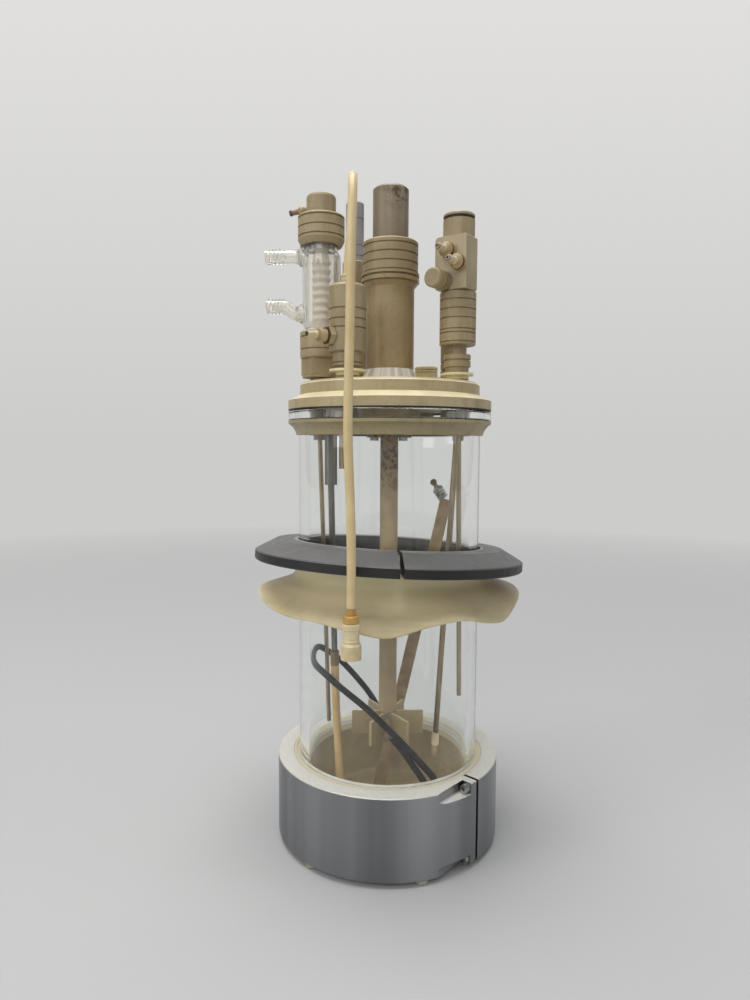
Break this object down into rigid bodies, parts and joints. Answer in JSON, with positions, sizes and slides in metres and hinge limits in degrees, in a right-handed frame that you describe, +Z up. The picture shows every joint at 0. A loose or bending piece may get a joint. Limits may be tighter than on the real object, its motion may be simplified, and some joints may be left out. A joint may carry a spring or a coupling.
{
  "type": "bench bioreactor",
  "caption": "Bench bioreactor: glass vessel in a metal base collar, plastic head plate with ports, reflux condenser, sensor probe and magnetically coupled stirrer.",
  "frame": {"origin": "centre of the base on the table", "axes": "+Z up along the vessel's axis, -Y towards the front where the air tube hangs, +X to the right"},
  "size_m": [0.1486, 0.1551, 0.3595],
  "materials": {
    "collar_aluminium": "clear anodised, satin, fine turning marks",
    "screw_steel": "plain stainless socket screws",
    "foot_rubber": "matt black",
    "cup_peek": "turned natural PEEK, darker inside",
    "borosilicate_glass": "clear, thick walled, polished",
    "ring_black": "black anodised, satin",
    "amber_silicone": "amber translucent silicone, semi-gloss",
    "gasket_rubber": "matt dark",
    "peek": "turned natural PEEK, satin with fine tool marks",
    "gland_peek": "turned natural PEEK",
    "can_grey": "grey brown, satin, small scuffs",
    "bearing_white": "white bearing plastic",
    "tube_peek": "turned natural PEEK",
    "rotor_steel": "stainless jacket round the magnets",
    "shaft_steel": "ground stainless",
    "impeller_plastic": "milled PEEK",
    "condenser_glass": "clear blown glass",
    "coil_glass": "clear blown glass, wavy",
    "barb_plastic": "natural PEEK fittings",
    "probe_grey": "warm grey, satin",
    "pipe_steel": "drawn stainless tube",
    "ferrule_brown": "brown plastic",
    "hose_beige": "beige silicone hose",
    "sparger_sinter": "porous sintered tip",
    "bar_brown": "brown plastic flat bar",
    "fitting_green": "green grey plastic fitting",
    "o_ring_black": "dark rubber cord",
    "air_tube_silicone": "translucent silicone tube",
    "tube_barb_amber": "amber plastic",
    "connector_cream": "cream plastic"
  },
  "bodies": {
    "reactor": {"air_tube": "air_tube_silicone", "base_clamp_screws": "screw_steel", "base_collar": "collar_aluminium", "base_feet": "foot_rubber", "blank_plug": "peek", "condenser_adapter": "peek", "condenser_cap": "peek", "condenser_coil": "coil_glass", "condenser_jacket": "condenser_glass", "condenser_lower_nut": "peek", "condenser_upper_nut": "peek", "coupling_nut": "peek", "dip_rod_glands": "gland_peek", "drip_skirt": "amber_silicone", "drive_can": "can_grey", "feed_adapter": "peek", "feed_barbs": "barb_plastic", "feed_block": "peek", "feed_cap": "peek", "feed_cap_seal": "gasket_rubber", "feed_column": "peek", "flange_backing_ring": "peek", "flange_gasket": "gasket_rubber", "glass_vessel": "borosilicate_glass", "harvest_ferrule": "ferrule_brown", "harvest_hose": "hose_beige", "harvest_pipe": "pipe_steel", "head_plate": "peek", "left_dip_rod": "pipe_steel", "loose_bar": "bar_brown", "loose_fitting": "fitting_green", "loose_o_ring": "o_ring_black", "lower_bearing": "bearing_white", "port_nuts": "gland_peek", "port_plug": "peek", "probe": "probe_grey", "probe_adapter": "peek", "rear_port_adapter": "peek", "right_dip_rod": "pipe_steel", "sample_port_adapter": "peek", "sample_port_body": "peek", "sample_side_barb": "barb_plastic", "sample_top_barb": "barb_plastic", "short_pipe": "pipe_steel", "sparger_pipe": "pipe_steel", "sparger_sleeve": "ferrule_brown", "sparger_tip": "sparger_sinter", "stirrer_housing": "peek", "stirrer_tube": "tube_peek", "support_ring": "ring_black", "tube_barb": "tube_barb_amber", "tube_connector": "connector_cream", "tube_flange_screws": "screw_steel", "upper_bearing": "bearing_white", "vent_barb": "barb_plastic", "vessel_base": "cup_peek"},
    "stirrer": {"magnet_rotor": "rotor_steel", "stirrer_shaft": "shaft_steel", "impeller": "impeller_plastic", "impeller_screw": "screw_steel"}
  },
  "joints": [
    {"name": "stirrer_spin", "type": "hinge", "parent": "reactor", "child": "stirrer", "pos_m": [0, 0, 0.18], "axis": [0, 0, 1], "continuous": true}
  ]
}
